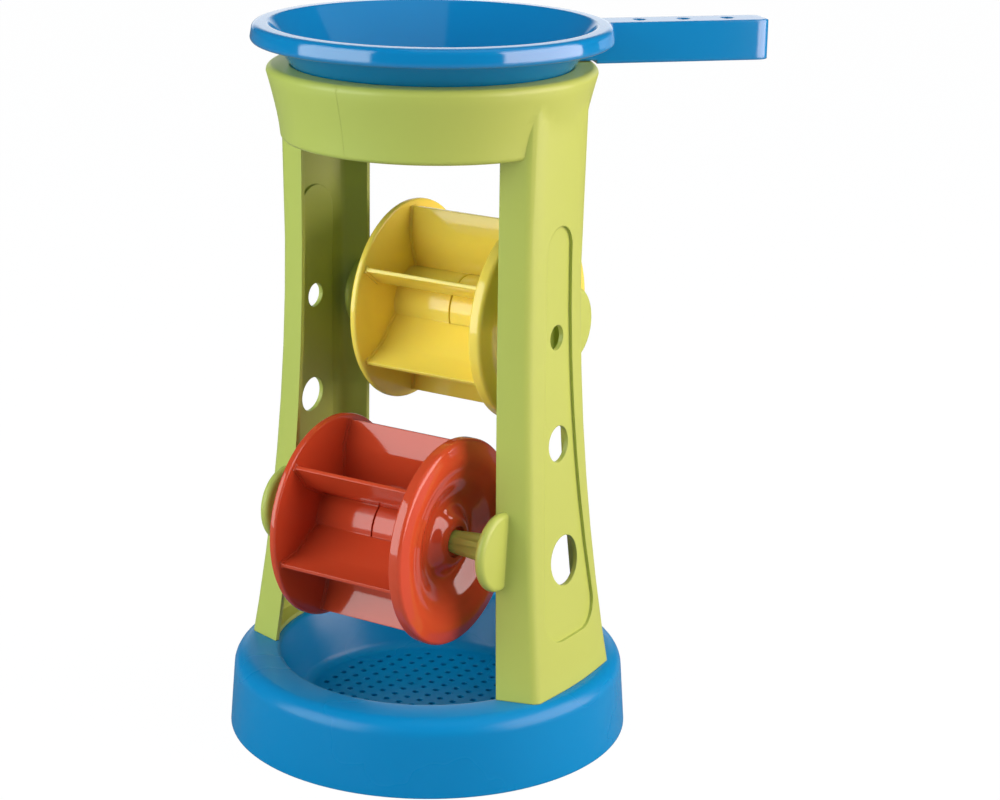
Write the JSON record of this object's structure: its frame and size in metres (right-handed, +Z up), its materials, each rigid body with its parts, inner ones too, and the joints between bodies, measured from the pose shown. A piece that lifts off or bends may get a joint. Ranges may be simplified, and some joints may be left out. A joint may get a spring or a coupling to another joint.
{
  "type": "sand wheel toy",
  "caption": "Tall sand and water wheel toy: a perforated round base, a tower of two columns with a collar, two paddle wheels on stub axles, and a lift-off funnel with a side handle.",
  "frame": {"origin": "on the ground plane, at the centre of the round base, on the tower's axis", "axes": "+Z up along the tower's axis; +X along the wheel axles, from the left column to the right column, on whose side the dished wheel caps are; +Y to the back, on the upper wheel's side"},
  "size_m": [0.2089, 0.2126, 0.3366],
  "materials": {
    "blue_base": "smooth moulded plastic, blue, slightly translucent at thin edges",
    "blue_funnel": "smooth moulded plastic, blue",
    "green": "satin moulded plastic, yellow green",
    "red": "smooth moulded plastic, orange red",
    "yellow": "smooth moulded plastic, warm yellow"
  },
  "bodies": {
    "tower": {"sieve_base": "blue_base", "tower_right": "green", "tower_left": "green", "lower_axle_right": "green", "lower_axle_left": "green", "upper_axle_right": "green", "upper_axle_left": "green"},
    "lower_wheel": {"lower_wheel_drum": "red", "lower_wheel_cap": "red"},
    "upper_wheel": {"upper_wheel_drum": "yellow", "upper_wheel_cap": "yellow"},
    "funnel": {"funnel": "blue_funnel"}
  },
  "joints": [
    {"name": "lower_wheel_spin", "type": "hinge", "parent": "tower", "child": "lower_wheel", "pos_m": [0, -0.033, 0.106], "axis": [1, 0, 0], "continuous": true},
    {"name": "upper_wheel_spin", "type": "hinge", "parent": "tower", "child": "upper_wheel", "pos_m": [0, 0.031, 0.1977], "axis": [1, 0, 0], "continuous": true},
    {"name": "funnel_lift", "type": "slide", "parent": "tower", "child": "funnel", "axis": [0, 0, 1], "range_m": [0, 0.045]}
  ]
}
